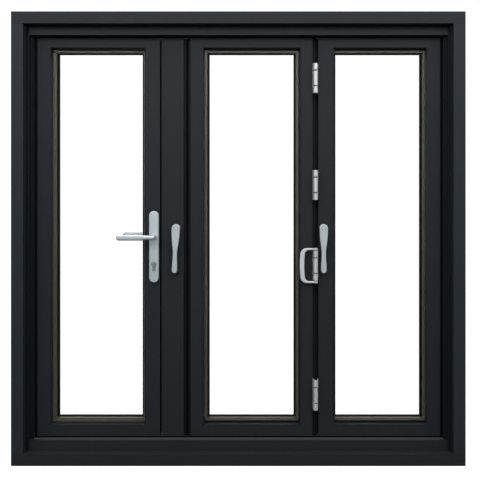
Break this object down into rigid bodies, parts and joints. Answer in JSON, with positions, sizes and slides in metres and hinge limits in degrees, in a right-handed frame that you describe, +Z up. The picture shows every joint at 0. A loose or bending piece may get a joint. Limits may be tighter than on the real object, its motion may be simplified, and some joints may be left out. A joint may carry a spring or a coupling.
{
  "type": "three-leaf folding patio door",
  "caption": "Grey aluminium folding patio door in its frame: a lever-handled entrance leaf and a hinged pair of glazed folding leaves, with tracks above and below.",
  "frame": {"origin": "middle of the sill's underside, in the plane of the leaves' room faces", "axes": "+X to the right seen from the room, +Y from the room outwards, +Z up"},
  "size_m": [1.5, 0.1915, 1.5],
  "materials": {
    "grey_paint": "semi-gloss anthracite grey powder coat",
    "clear_glass": "clear sealed double glazing",
    "black_rubber": "black seal rubber",
    "spacer_bar": "matt bronze grey spacer bar",
    "hinge_metal": "satin silver",
    "satin_handles": "satin silver",
    "nickel_cylinder": "satin nickel"
  },
  "bodies": {
    "frame": {"frame_head": "grey_paint", "frame_sill": "grey_paint", "jamb_left": "grey_paint", "jamb_right": "grey_paint", "head_track": "grey_paint", "sill_track": "grey_paint", "frame_seals": "black_rubber", "middle_left_stile": "grey_paint", "middle_right_stile": "grey_paint", "middle_top_rail": "grey_paint", "middle_bottom_rail": "grey_paint", "middle_glass": "clear_glass", "middle_spacer": "spacer_bar", "middle_beads": "grey_paint", "middle_gaskets": "black_rubber", "end_left_stile": "grey_paint", "end_right_stile": "grey_paint", "end_top_rail": "grey_paint", "end_bottom_rail": "grey_paint", "end_glass": "clear_glass", "end_spacer": "spacer_bar", "end_beads": "grey_paint", "end_gaskets": "black_rubber", "meeting_stile": "grey_paint", "fold_seals": "black_rubber", "jamb_hinge_halves": "hinge_metal", "end_hinges": "hinge_metal", "middle_hinge_halves": "hinge_metal", "end_hinge_halves": "hinge_metal", "pull_handle": "satin_handles", "roller_carriages": "hinge_metal", "bolt_roses": "satin_handles"},
    "entrance_leaf": {"entrance_hinge_stile": "grey_paint", "entrance_lock_stile": "grey_paint", "entrance_top_rail": "grey_paint", "entrance_bottom_rail": "grey_paint", "entrance_glass": "clear_glass", "entrance_spacer": "spacer_bar", "entrance_beads": "grey_paint", "entrance_gaskets": "black_rubber", "entrance_hinge_halves": "hinge_metal", "handle_plates": "satin_handles", "lock_cylinder": "nickel_cylinder"},
    "lever_set": {"levers": "satin_handles"},
    "shoot_bolt_handle_1": {"bolt_handle_1": "satin_handles"},
    "shoot_bolt_handle_2": {"bolt_handle_2": "satin_handles"}
  },
  "joints": [
    {"name": "entrance_swing", "type": "hinge", "parent": "frame", "child": "entrance_leaf", "pos_m": [-0.69, 0.068, 0.75], "axis": [0, 0, 1], "range_deg": [0, 110]},
    {"name": "lever_turn", "type": "hinge", "parent": "entrance_leaf", "child": "lever_set", "pos_m": [-0.286, 0, 0.752], "axis": [0, -1, 0], "range_deg": [-40, 40], "stiffness_Nm_per_rad": 8, "springref_deg": -1.72},
    {"name": "bolt_turn_1", "type": "hinge", "parent": "frame", "child": "shoot_bolt_handle_1", "pos_m": [-0.211, -0.02, 0.781], "axis": [0, -1, 0], "range_deg": [0, 180]},
    {"name": "bolt_turn_2", "type": "hinge", "parent": "frame", "child": "shoot_bolt_handle_2", "pos_m": [0.286, -0.02, 0.781], "axis": [0, -1, 0], "range_deg": [0, 180]}
  ]
}
